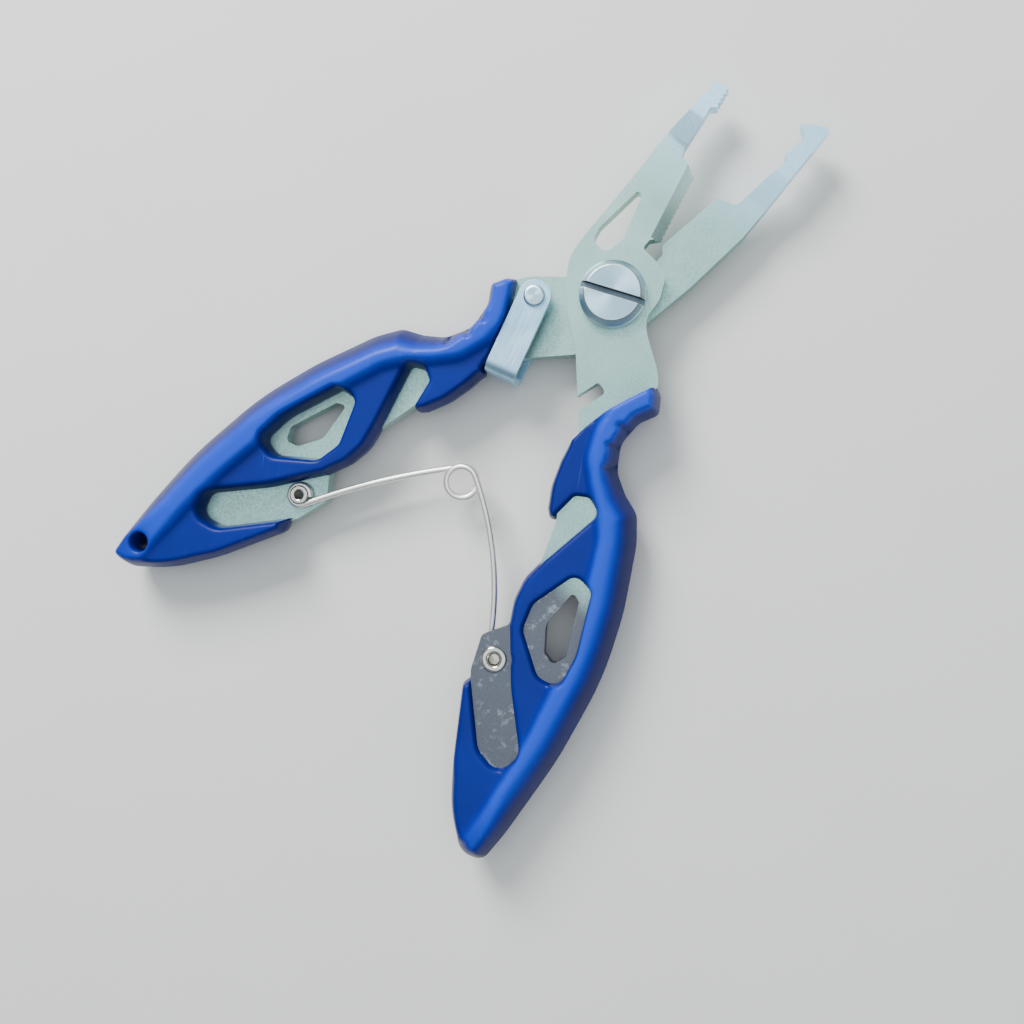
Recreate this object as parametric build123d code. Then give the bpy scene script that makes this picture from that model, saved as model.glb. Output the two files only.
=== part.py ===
"""Split-ring pliers with line-cutting blades: two stamped plates on a pivot screw, over-moulded grips,
a swing latch and one wire torsion spring.

Frame: millimetres. The origin is where the pivot axis meets the plane that the tool lies on.
+X points at the jaws, +Z up the pivot axis. The upper plate's jaw is at +Y and its handle at -Y,
and the lower plate is the other way round. The handles are fully open.
"""

from build123d import *
from math import acos, asin, atan2, cos, degrees, hypot, radians, sin
import os

os.makedirs("parts", exist_ok=True)

# ---- plates and grips, through their thickness --------------------------------------------------
plate_thickness = 2.5
plate_gap = 0.04  # running gap between the two plates
grip_thickness = 10.0  # over the raised spine of each grip
grip_web_step = 1.5  # how far the web of a grip lies below its spine

# ---- closing ------------------------------------------------------------------------------------
closing_angle = 21.5

# ---- pivot --------------------------------------------------------------------------------------
screw_head_radius = 5.0
screw_head_chamfer = 0.9
screw_shank_radius = 2.0
screw_slot_width = 0.9
screw_slot_depth = 1.1
screw_slot_angle = -70.0
nut_sleeve_radius = 3.0
running_clearance = 0.04  # radial, of every bore that turns on a pin

# ---- jaws ---------------------------------------------------------------------------------------
tooth_count = 4
tooth_pitch = 0.72
tooth_depth = 0.35
joggle_start = 23.6  # where the jaw arms start to step to the middle plane
joggle_end = 29.0
blade_bevel_width = 1.45
edge_notch_count = 11
edge_notch_depth = 0.22

# ---- latch --------------------------------------------------------------------------------------
rivet_x, rivet_y = -7.25, 9.2
rivet_radius = 1.1
rivet_head_radius = 1.6
rivet_head_height = 0.6
strap_width = 5.0
strap_thickness = 0.9
strap_reach = 12.2  # rivet axis to the inner face of the web
strap_lift = 0.22  # between the plates' outer faces and the strap's legs
strap_bend_radius = 1.8
latch_rest_angle = 193.5  # direction of the parked strap
latch_swing = 36.0
latch_clearance = 0.3
notch_play = 0.9  # extra width of the notch over the web
spacer_radius = 1.9

# ---- spring and eyelets -------------------------------------------------------------------------
wire_diameter = 1.0
coil_mean_radius = 2.4
coil_x, coil_y = -36.3, 1.0
leg_radius = 90.0
eyelet_x, eyelet_y = -54.0, 20.1
eyelet_bore_radius = 0.75
eyelet_tube_radius = 1.05
eyelet_flange_radius = 2.0
eyelet_flange_thickness = 0.35
eyelet_rolled_radius = 1.5
loop_clearance = 0.12  # round the right eyelet, which the spring turns on
open_loop_clearance = 0.5  # round the left eyelet, where the linkage is opened
open_loop_shift = 0.4  # the open loop's centre from the eyelet, half of how far it strays in mid-travel
half_coil_angle = 225.0
loop_angle = 300.0
open_loop_angle = 120.0
wire_slack = 0.06  # above and below each wire loop
loop_relief = 0.2  # from the right wire loop to the grip beside it

lanyard_x, lanyard_y = -75.7, 35.3
lanyard_radius = 1.5

# ---- levels that follow ---------------------------------------------------------------------------
middle = grip_thickness / 2
lower_top = middle - plate_gap / 2
lower_bottom = lower_top - plate_thickness
upper_bottom = middle + plate_gap / 2
upper_top = upper_bottom + plate_thickness
web_low = grip_web_step
web_high = grip_thickness - grip_web_step
strap_top_leg = upper_top + strap_lift
strap_low_leg = lower_bottom - strap_lift - strap_thickness
wire_radius = wire_diameter / 2
right_loop_radius = eyelet_tube_radius + loop_clearance + wire_radius
right_wire_level = upper_bottom - wire_slack - wire_radius
left_wire_level = lower_top + wire_slack + wire_radius


# ---- helpers --------------------------------------------------------------------------------------
def rounded_outline(corners):
    """A closed face through (x, y, radius) corners, each rounded by an arc that touches both sides."""
    edges = []
    touch_points = []
    count = len(corners)
    for i in range(count):
        x, y, radius = corners[i]
        here = Vector(x, y)
        back = Vector(*corners[i - 1][:2]) - here
        ahead = Vector(*corners[(i + 1) % count][:2]) - here
        if radius == 0:
            touch_points.append((here, here))
            continue
        half = radians(back.get_angle(ahead)) / 2
        reach = radius / abs(sin(half) / cos(half))
        start = here + back.normalized() * reach
        end = here + ahead.normalized() * reach
        middle_line = (back.normalized() + ahead.normalized()).normalized()
        crown = here + middle_line * (radius / sin(half) - radius)
        touch_points.append((start, end))
        edges.append(ThreePointArc(start, crown, end))
    for i in range(count):
        leave = touch_points[i - 1][1]
        arrive = touch_points[i][0]
        if (arrive - leave).length > 1e-6:
            edges.append(Line(leave, arrive))
    return make_face(Wire(edges))


def slab(face, bottom, top):
    return extrude(Pos(0, 0, bottom) * face, top - bottom)


def disc(x, y, radius, bottom, top):
    return Pos(x, y, (bottom + top) / 2) * Cylinder(radius, top - bottom)


def mirrored(shape):
    return mirror(shape, about=Plane.XZ)


def turned(x, y, angle):
    c, s = cos(radians(angle)), sin(radians(angle))
    return x * c - y * s, x * s + y * c


def along(origin, direction, forward, sideways):
    """The point that lies forward and to the left of origin, looking in the given direction."""
    dx, dy = turned(forward, sideways, direction)
    return origin[0] + dx, origin[1] + dy


# ---- plates -----------------------------------------------------------------------------------------
# Both plates are drawn with the jaw at +Y and the handle at -Y. The lower one is then mirrored.
neck_outer = [(-1.7, -7.9, 4), (-5.0, -12.6, 8), (-6.6, -13.8, 0.3)]
tail = [
    (-8.6, -13.4, 1),
    (-12.0, -12.9, 3),
    (-17.0, -12.7, 3),
    (-21.5, -15.4, 3),
    (-23.8, -19.0, 3),
    (-25.0, -22.2, 3),
    (-28.4, -24.6, 6),
    (-37.0, -28.6, 20),
    (-47.0, -32.2, 20),
    (-61.5, -34.4, 3),
    (-68.0, -32.2, 3),
    (-67.6, -27.6, 2),
    (-60.4, -20.6, 2),
    (-57.4, -18.3, 0.8),
    (-52.2, -16.3, 1.0),
    (-48.6, -18.5, 0),
    (-42.0, -17.9, 3),
    (-37.6, -16.4, 0),
    (-31.7, -14.5, 0),
    (-28.0, -12.0, 3),
    (-20.4, -9.9, 1),
]
upper_neck_inner = [(-14.5, -4.75, 3), (-9.7, -0.6, 5), (-6.2, 3.5, 6), (-2.8, 6.9, 5), (0.8, 8.9, 5)]
lower_neck_inner = [(-15.0, -4.9, 3), (-10.1, 0.6, 6), (-6.0, 3.4, 6)]

upper_jaw = [
    (3.6, 9.1, 5),
    (15.0, 8.7, 10),
    (26.4, 8.6, 10),
    (34.4, 8.0, 0.4),
    (34.6, 5.7, 0.2),
    (31.4, 5.3, 0.1),
    (30.8, 6.2, 0.2),
    (23.6, 5.25, 1),
    (22.2, 4.7, 0.6),
    (21.4, 1.7, 0.15),
    (11.0, -0.35, 0.1),
    (9.7, 0.85, 0.3),
    (8.2, 0.9, 0.5),
    (7.8, -2.0, 0.4),
    (7.0, -4.4, 2),
    (3.8, -5.9, 3),
    (0.2, -6.0, 3),
]
lower_jaw = [
    (0.3, 6.3, 10),
    (8.4, 8.1, 10),
    (18.6, 9.6, 10),
    (27.8, 9.9, 10),
    (38.5, 10.0, 0.4),
    (36.5, 5.9, 0.25),
    (35.4, 7.7, 0.3),
    (31.8, 7.0, 0.1),
    (30.9, 7.9, 0.2),
    (27.3, 6.9, 2),
    (21.9, 5.9, 0.8),
    (21.1, 2.9, 0.15),
    (10.8, 0.75, 0.2),
    (9.6, 1.7, 0.3),
    (8.0, 1.5, 0.5),
    (7.6, -2.0, 2),
    (6.2, -4.2, 2),
    (3.6, -5.5, 3),
    (0.2, -5.8, 3),
]
plate_window = [
    (14.9, 6.75, 0.4),
    (13.9, 5.8, 0.6),
    (7.4, 4.0, 1.4),
    (4.3, 4.9, 1.2),
    (4.6, 7.6, 1.3),
    (6.8, 8.0, 1.2),
]
grip_hole_in_plate = [
    (-38.4, -23.1, 0.5),
    (-39.0, -24.7, 0.5),
    (-46.6, -28.3, 1.0),
    (-48.9, -27.5, 0.8),
    (-48.3, -25.4, 0.8),
    (-44.8, -22.9, 2.0),
]


def jaw_profile(top, bottom, drop):
    """Side view of a plate whose jaw arm steps by drop towards the middle plane."""
    far = 60.0
    near = -90.0
    profile = rounded_outline([
        (near, bottom, 0),
        (joggle_start, bottom, 5),
        (joggle_end, bottom + drop, 5),
        (far, bottom + drop, 0),
        (far, top + drop, 0),
        (joggle_end, top + drop, 5),
        (joggle_start, top, 5),
        (near, top, 0),
    ])
    standing = Plane.XZ * profile
    return extrude(standing, 50.0, both=True)


def tooth_row(start, end, depth, count, pitch):
    """V-notches through the thickness, spaced along the edge from start to end; metal lies to the left."""
    run = hypot(end[0] - start[0], end[1] - start[1])
    direction = degrees(atan2(end[1] - start[1], end[0] - start[0]))
    first = (run - pitch * (count - 1)) / 2
    cutters = []
    for i in range(count):
        place = first + i * pitch
        corners = [(place - pitch / 2, 0.0), (place + pitch / 2, 0.0), (place, depth)]
        spread = [along(start, direction, forward, side) for forward, side in corners]
        overrun = [along(start, direction, forward, -1.0) for forward in (place + pitch / 2, place - pitch / 2)]
        points = [spread[0], spread[2], spread[1], overrun[0], overrun[1]]
        cutters.append(slab(make_face(Polyline(*points, close=True)), 0.0, grip_thickness))
    return cutters


def blade_grind(start, end, shear_level, outer_level):
    """The wedge ground off a blade: nothing at the shear face, blade_bevel_width at the outer face."""
    direction = degrees(atan2(end[1] - start[1], end[0] - start[0]))
    length = hypot(end[0] - start[0], end[1] - start[1])
    rise = outer_level - shear_level
    section = make_face(Polyline(
        (0, 0), (-blade_bevel_width, rise), (-blade_bevel_width, 2 * rise), (2, 2 * rise), (2, 0), close=True
    ))
    wedge = extrude(Plane.XZ * section, length + 1.2, both=False)
    # The section stands across +Y here; turn its run on to the edge, metal on the left of the edge.
    wedge = Pos(0, length + 0.6, 0) * wedge
    return Pos(start[0], start[1], shear_level) * Rot(0, 0, direction - 90) * wedge


# The latch's own geometry gives the notch in the upper plate and the relief in the lower one.
rivet = (rivet_x, rivet_y)
closed_rivet = turned(rivet_x, rivet_y, closing_angle)
engaged_direction = latch_rest_angle + closing_angle + latch_swing


def latch_notch():
    low = strap_reach - latch_clearance / 2
    high = strap_reach + strap_thickness + notch_play
    end = strap_width / 2 + latch_clearance
    corners = [(low, end, 0.5), (high, end, 0.7), (high, -8.0, 0), (low, -8.0, 0)]
    placed = [(*along(closed_rivet, engaged_direction, f, s), radius) for f, s, radius in corners]
    return slab(rounded_outline(placed), 0.0, grip_thickness)


def latch_park(margin):
    """The parked strap's footprint with a margin all round."""
    half = strap_width / 2 + margin
    reach = strap_reach + strap_thickness + margin
    corners = [(-half, -half, half * 0.95), (reach, -half, 0.5), (reach, half, 0.5), (-half, half, half * 0.95)]
    placed = [(*along(rivet, latch_rest_angle, f, s), radius) for f, s, radius in corners]
    return rounded_outline(placed)


def web_relief():
    """The ring-shaped way that the web needs past the lower plate's edge, from its parked place."""
    inner = strap_reach - latch_clearance
    outer = hypot(strap_reach + strap_thickness, strap_width / 2) + latch_clearance
    spread = degrees(asin((strap_width / 2 + latch_clearance) / inner))
    ring = disc(*rivet, outer, 0, grip_thickness) - disc(*rivet, inner, 0, grip_thickness)
    start = latch_rest_angle - spread
    points = [rivet, along(rivet, start, 20, 0), along(rivet, start + 35, 26, 0), along(rivet, start + 70, 20, 0)]
    sector = slab(make_face(Polyline(*points, close=True)), 0, grip_thickness)
    return ring & sector


def flat_jaw_plate():
    outline = rounded_outline(upper_jaw + neck_outer + tail + upper_neck_inner)
    plate = slab(outline, 0, grip_thickness)
    plate = plate & jaw_profile(upper_top, upper_bottom, -(plate_thickness + plate_gap) / 2)
    plate -= slab(rounded_outline(plate_window), 0, grip_thickness)
    plate -= slab(rounded_outline(grip_hole_in_plate), 0, grip_thickness)
    plate -= disc(0, 0, nut_sleeve_radius + running_clearance, 0, grip_thickness)
    plate -= disc(eyelet_x, -eyelet_y, eyelet_tube_radius, 0, grip_thickness)
    plate -= latch_notch()
    plate -= blade_grind((11.0, -0.35), (21.4, 1.7), upper_bottom, upper_top)
    for cutter in tooth_row((31.5, 5.31), (34.5, 5.69), tooth_depth, tooth_count, tooth_pitch):
        plate -= cutter
    for cutter in tooth_row((11.3, -0.29), (21.1, 1.64), edge_notch_depth, edge_notch_count, 9.6 / edge_notch_count):
        plate -= cutter
    return plate


def hook_jaw_plate():
    outline = rounded_outline(lower_jaw + neck_outer + tail + lower_neck_inner)
    plate = slab(outline, 0, grip_thickness)
    plate = plate & jaw_profile(lower_top, lower_bottom, (plate_thickness + plate_gap) / 2)
    plate -= slab(rounded_outline(grip_hole_in_plate), 0, grip_thickness)
    plate -= disc(0, 0, nut_sleeve_radius + running_clearance, 0, grip_thickness)
    plate -= disc(eyelet_x, -eyelet_y, eyelet_tube_radius, 0, grip_thickness)
    plate -= disc(rivet_x, -rivet_y, rivet_radius, 0, grip_thickness)
    for cutter in tooth_row((32.0, 7.04), (35.2, 7.66), tooth_depth, tooth_count, tooth_pitch):
        plate -= cutter
    plate = mirrored(plate)
    plate -= blade_grind((21.1, -2.9), (10.8, -0.75), lower_top, lower_bottom)
    plate -= web_relief()
    return plate


# ---- grips --------------------------------------------------------------------------------------------
# The grips' outline, in three runs. The left grip is fuller at the end, for the lanyard hole.
grip_front = [
    (-6.6, -13.6, 0.3),
    (-7.3, -14.9, 0.8),
    (-9.6, -16.4, 1.2),
    (-12.4, -14.8, 3),
    (-16.6, -14.6, 4),
    (-20.3, -16.9, 4),
    (-22.2, -20.0, 3),
    (-23.4, -23.2, 3),
    (-27.0, -26.0, 10),
    (-36.2, -30.9, 40),
]
right_tail_end = [
    (-46.0, -34.7, 50),
    (-60.0, -37.1, 60),
    (-74.0, -38.0, 40),
    (-79.5, -37.9, 2.0),
    (-80.9, -34.6, 3),
    (-76.4, -29.0, 20),
]
left_tail_end = [
    (-46.0, -35.0, 50),
    (-60.0, -38.1, 60),
    (-74.0, -39.2, 60),
    (-80.7, -38.7, 1.6),
    (-80.9, -35.4, 5),
    (-76.4, -29.5, 20),
]
grip_inner = [
    (-70.2, -24.6, 40),
    (-60.2, -18.5, 1.4),
    (-58.5, -19.0, 0.8),
    (-48.6, -18.5, 2),
    (-45.2, -16.7, 6),
    (-41.5, -15.9, 6),
    (-37.4, -16.4, 0),
    (-32.2, -12.7, 0.6),
    (-28.0, -10.3, 8),
    (-24.2, -9.1, 4),
    (-20.6, -8.4, 0.7),
    (-14.5, -9.9, 8),
    (-10.2, -11.8, 6),
]
spine_inner_line = [
    (-74.0, -33.4, 20),
    (-66.0, -32.7, 20),
    (-58.5, -31.5, 40),
    (-48.0, -29.0, 40),
    (-37.0, -24.8, 30),
    (-29.6, -21.4, 8),
    (-26.6, -18.8, 12),
    (-24.2, -15.6, 12),
    (-21.2, -12.5, 6),
    (-17.0, -10.8, 5),
]
spine_surround = [
    (-9.0, -10.0, 0),
    (-2.0, -12.0, 0),
    (-6.0, -30.0, 0),
    (-40.0, -50.0, 0),
    (-90.0, -50.0, 0),
    (-90.0, -33.4, 0),
]
window = [
    (-36.6, -22.0, 1.2),
    (-36.8, -25.0, 1.0),
    (-45.6, -29.1, 8),
    (-50.6, -30.0, 1.4),
    (-51.4, -27.0, 2.0),
    (-47.4, -21.0, 2.0),
    (-43.6, -19.9, 2.0),
]
front_slot = [
    (-38.2, -9.0, 0),
    (-37.4, -16.4, 0),
    (-27.0, -18.4, 1.0),
    (-26.2, -16.2, 1.0),
    (-27.2, -14.6, 0.6),
    (-31.8, -14.1, 0.6),
    (-32.0, -13.1, 0.8),
    (-30.6, -11.5, 0),
    (-36.0, -9.0, 0),
]
rear_slot = [
    (-58.4, -14.0, 0),
    (-57.5, -18.7, 1),
    (-65.9, -27.0, 3),
    (-66.6, -31.0, 1.8),
    (-63.0, -31.9, 1.8),
    (-56.0, -24.6, 20),
    (-48.6, -18.5, 1),
    (-49.5, -14.0, 0),
]


def grip_body(tail_end):
    """The moulding round one handle, before its plate and fittings are taken out of it."""
    whole = rounded_outline(grip_front + tail_end + grip_inner)
    spine = slab(whole & rounded_outline(spine_inner_line + spine_surround), 0, grip_thickness)
    body = slab(whole, web_low, web_high) + spine
    for opening in (window, front_slot, rear_slot):
        body -= slab(rounded_outline(opening), 0, grip_thickness)
    return body


def right_grip(plate):
    body = grip_body(right_tail_end) - plate
    relief = right_loop_radius + wire_radius + loop_relief
    return body - disc(eyelet_x, -eyelet_y, relief, right_wire_level - wire_radius - wire_slack, upper_bottom)


def left_grip(plate):
    body = mirrored(grip_body(left_tail_end)) - plate
    body -= slab(latch_park(latch_clearance), 0, grip_thickness)
    body -= disc(lanyard_x, lanyard_y, lanyard_radius, 0, grip_thickness)
    return body


# ---- pivot ----------------------------------------------------------------------------------------------
def pivot_screw():
    head = disc(0, 0, screw_head_radius, upper_top, grip_thickness)
    head = chamfer(head.edges().group_by(Axis.Z)[-1], screw_head_chamfer)
    slot = Box(3 * screw_head_radius, screw_slot_width, screw_slot_depth)
    slot = Pos(0, 0, grip_thickness - screw_slot_depth / 2) * Rot(0, 0, screw_slot_angle) * slot
    shank = disc(0, 0, screw_shank_radius, lower_bottom, upper_top)
    return head - slot + shank


def pivot_nut():
    flange = disc(0, 0, screw_head_radius, 0, lower_bottom)
    flange = chamfer(flange.edges().group_by(Axis.Z)[0], screw_head_chamfer / 2)
    sleeve = disc(0, 0, nut_sleeve_radius, lower_bottom, upper_top)
    return flange + sleeve - disc(0, 0, screw_shank_radius, lower_bottom, upper_top)


# ---- latch ----------------------------------------------------------------------------------------------
def latch_strap():
    """A U of strip: two legs on the rivet, joined by the web that hooks into the notch."""
    top = strap_top_leg + strap_thickness
    reach = strap_reach + strap_thickness
    half = strap_width / 2
    plan = Pos(reach / 2, 0) * Rectangle(reach, strap_width) + Circle(half)
    side = rounded_outline([
        (-half, strap_low_leg, 0),
        (reach, strap_low_leg, strap_bend_radius),
        (reach, top, strap_bend_radius),
        (-half, top, 0),
        (-half, strap_top_leg, 0),
        (strap_reach, strap_top_leg, 0.3),
        (strap_reach, strap_low_leg + strap_thickness, 0.3),
        (-half, strap_low_leg + strap_thickness, 0),
    ])
    strap = slab(plan, 0, grip_thickness) & extrude(Plane.XZ * side, strap_width, both=True)
    strap -= disc(0, 0, rivet_radius + running_clearance, 0, grip_thickness)
    return Pos(rivet_x, rivet_y, 0) * Rot(0, 0, latch_rest_angle) * strap


def rivet_head(level, outwards):
    """A low domed head that starts at level and rises outwards, +1 up or -1 down."""
    sphere_radius = (rivet_head_radius**2 + rivet_head_height**2) / (2 * rivet_head_height)
    centre = level + outwards * (rivet_head_height - sphere_radius)
    half_space = disc(*rivet, 2 * rivet_head_radius, *sorted((level, level + outwards * 2)))
    return Pos(*rivet, centre) * Sphere(sphere_radius) & half_space


def latch_rivet():
    low = strap_low_leg - plate_gap / 2
    high = strap_top_leg + strap_thickness + plate_gap / 2
    return disc(*rivet, rivet_radius, low, high) + rivet_head(high, 1) + rivet_head(low, -1)


def latch_spacer():
    ring = disc(*rivet, spacer_radius, lower_top, strap_top_leg - plate_gap / 2)
    return ring - disc(*rivet, rivet_radius, lower_top, strap_top_leg)


# ---- eyelets --------------------------------------------------------------------------------------------
def eyelet(y, head_level, head_side, tail_level):
    """A tube with a flange on the plate's face and a rolled end that keeps the wire loop on it."""
    head_edge = head_level + head_side * eyelet_flange_thickness
    tail_edge = tail_level - head_side * eyelet_flange_thickness
    low, high = sorted((head_edge, tail_edge))
    body = disc(eyelet_x, y, eyelet_tube_radius, low, high)
    body += disc(eyelet_x, y, eyelet_flange_radius, *sorted((head_level, head_edge)))
    body += disc(eyelet_x, y, eyelet_rolled_radius, *sorted((tail_level, tail_edge)))
    return body - disc(eyelet_x, y, eyelet_bore_radius, low, high)


def right_eyelet():
    return eyelet(-eyelet_y, upper_top, 1, upper_bottom - wire_diameter - 2 * wire_slack)


def left_eyelet():
    return eyelet(eyelet_y, lower_bottom, -1, lower_top + wire_diameter + 2 * wire_slack)


# ---- spring ---------------------------------------------------------------------------------------------
def circle_meet(a, radius_a, b, radius_b, side):
    """Where two circles meet, on the given side (+1 left, -1 right) of the line from a to b."""
    gap = (b - a).length
    forward = (radius_a**2 - radius_b**2 + gap**2) / (2 * gap)
    sideways = side * (radius_a**2 - forward**2) ** 0.5
    ahead = (b - a).normalized()
    return a + ahead * forward + Vector(-ahead.Y, ahead.X) * sideways


def round_bar(centre, radius, start_angle, end_angle, level):
    """A piece of wire bent to an arc about centre."""
    path = CenterArc((centre.X, centre.Y, level), radius, start_angle, end_angle - start_angle)
    ends = Plane(origin=path @ 0, z_dir=path % 0)
    return sweep(ends * Circle(wire_radius), path=path)


def heading(origin, point):
    return degrees(atan2(point.Y - origin.Y, point.X - origin.X))


def spring_leg(eye, loop_radius, wound_angle, level):
    """Half of the spring: the loop round an eyelet, the bowed leg, and its share of the coil."""
    eyelet_side = 1 if eye.Y > 0 else -1
    coil = Vector(coil_x, coil_y)
    bow = circle_meet(coil, leg_radius - coil_mean_radius, eye, leg_radius + loop_radius, eyelet_side)
    turn = -eyelet_side  # the way that the wire winds on from the leg into the coil
    at_coil = heading(bow, coil)
    at_eye = heading(bow, eye)
    leg_low, leg_high = sorted((at_coil, at_eye))
    leg = round_bar(bow, leg_radius, leg_low, leg_high, level)
    coil_low, coil_high = sorted((at_coil, at_coil + turn * half_coil_angle))
    ring = round_bar(coil, coil_mean_radius, coil_low, coil_high, level)
    loop_start = heading(eye, bow)
    loop_low, loop_high = sorted((loop_start, loop_start + turn * wound_angle))
    loop = round_bar(eye, loop_radius, loop_low, loop_high, level)
    return leg + ring + loop


def spring_leg_right():
    return spring_leg(Vector(eyelet_x, -eyelet_y), right_loop_radius, loop_angle, right_wire_level)


def spring_leg_left():
    loop_radius = eyelet_tube_radius + open_loop_clearance + wire_radius
    return spring_leg(Vector(eyelet_x, eyelet_y - open_loop_shift), loop_radius, open_loop_angle, left_wire_level)


# ---- all the parts --------------------------------------------------------------------------------------
upper_plate = flat_jaw_plate()
lower_plate = hook_jaw_plate()
nodes = {
    "flat_jaw_plate": upper_plate,
    "hook_jaw_plate": lower_plate,
    "right_grip": right_grip(upper_plate),
    "left_grip": left_grip(lower_plate),
    "pivot_screw": pivot_screw(),
    "pivot_nut": pivot_nut(),
    "latch_strap": latch_strap(),
    "latch_rivet": latch_rivet(),
    "latch_spacer": latch_spacer(),
    "right_eyelet": right_eyelet(),
    "left_eyelet": left_eyelet(),
    "spring_leg_right": spring_leg_right(),
    "spring_leg_left": spring_leg_left(),
}
for name, shape in nodes.items():
    export_step(shape, f"parts/{name}.step")
    print(name, len(shape.solids()), round(shape.volume, 2))
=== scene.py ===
# %% [markdown]
# # Split-ring pliers with line-cutting blades
# Two stamped plates turn on a screw, and each has a handle moulded round it. The CAD model already
# gives every piece its place and its size. This file gives each one its surface: soft mouldings,
# plates with eased edges, turned and folded steel, and one spring wire bent from a single length.

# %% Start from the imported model
import bmesh
import bpy
import numpy as np
from math import atan2, cos, degrees, hypot, radians, sin, tau
from mathutils import Matrix, Vector, geometry


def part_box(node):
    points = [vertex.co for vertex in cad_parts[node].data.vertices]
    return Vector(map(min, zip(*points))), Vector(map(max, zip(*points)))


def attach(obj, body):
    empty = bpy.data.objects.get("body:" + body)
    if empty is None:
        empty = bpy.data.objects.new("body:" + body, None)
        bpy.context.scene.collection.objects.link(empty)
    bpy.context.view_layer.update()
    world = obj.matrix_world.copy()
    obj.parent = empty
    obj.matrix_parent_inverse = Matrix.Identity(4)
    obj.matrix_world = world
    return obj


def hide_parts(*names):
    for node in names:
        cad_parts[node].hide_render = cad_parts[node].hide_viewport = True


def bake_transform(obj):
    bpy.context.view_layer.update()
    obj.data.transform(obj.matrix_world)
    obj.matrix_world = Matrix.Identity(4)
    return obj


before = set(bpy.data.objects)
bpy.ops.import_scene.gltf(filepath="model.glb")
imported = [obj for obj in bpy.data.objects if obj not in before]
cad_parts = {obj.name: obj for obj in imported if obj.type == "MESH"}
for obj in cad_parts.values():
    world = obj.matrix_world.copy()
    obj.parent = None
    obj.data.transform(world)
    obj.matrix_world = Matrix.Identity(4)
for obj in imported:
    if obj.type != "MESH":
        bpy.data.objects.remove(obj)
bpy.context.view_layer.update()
MM = 0.001

# %% [markdown]
# The camera stands almost straight above the tool, a hand's span away, so the near faces look a
# little larger than the far ones. It is turned so that the jaws point up to the right.

# %% Camera
def stand_camera(location, target, up, focal):
    camera = bpy.data.objects.new("bench_camera", bpy.data.cameras.new("bench_camera"))
    bpy.context.scene.collection.objects.link(camera)
    back = (location - target).normalized()
    right = up.cross(back).normalized()
    axes = Matrix((right, back.cross(right), back)).transposed()
    camera.matrix_world = Matrix.Translation(location) @ axes.to_4x4()
    camera.data.lens = focal
    camera.data.sensor_width = 36.0
    camera.data.clip_start = 0.005
    bpy.context.scene.camera = camera
    return right


view_up = Vector((0.7804, 0.6252, 0.0))
eye = Vector((-21.6, -27.1, 161.0)) * MM
looked_at = Vector((-35.0, -8.0, 5.0)) * MM
view_right = stand_camera(eye, looked_at, view_up, 36.04)
print("the view's right runs along", [round(v, 3) for v in view_right])

# %% [markdown]
# Every finish below is a small tree of nodes. Two helpers keep those trees short: one turns the hex
# value that a paint shop would quote into the linear colour that the shader wants, and one adds a
# node together with its settings and its links.

# %% Colour and node helpers
def colour(value):
    """An sRGB hex colour, such as 1C46CC, as linear red, green, blue and alpha."""
    channels = [int(value[i:i + 2], 16) / 255 for i in (0, 2, 4)]
    return [c / 12.92 if c <= 0.04045 else ((c + 0.055) / 1.055) ** 2.4 for c in channels] + [1.0]


def add(tree, kind, plugs=None, **settings):
    """A new node: settings are its properties, and plugs are its inputs, as values or as links."""
    node = tree.nodes.new(kind)
    for name, value in settings.items():
        setattr(node, name, value)
    for socket, value in (plugs or {}).items():
        if isinstance(value, bpy.types.NodeSocket):
            tree.links.new(value, node.inputs[socket])
        else:
            node.inputs[socket].default_value = value
    return node


def new_finish(name, **sockets):
    """A material with its Principled shader, whose constant values go straight on its own sockets."""
    finish = bpy.data.materials.new(name)
    finish.use_nodes = True
    shader = finish.node_tree.nodes["Principled BSDF"]
    for socket, value in sockets.items():
        shader.inputs[socket.replace("_", " ")].default_value = value
    return finish, finish.node_tree, shader


print("royal blue in linear light:", [round(c, 3) for c in colour("1C46CC")])
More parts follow.
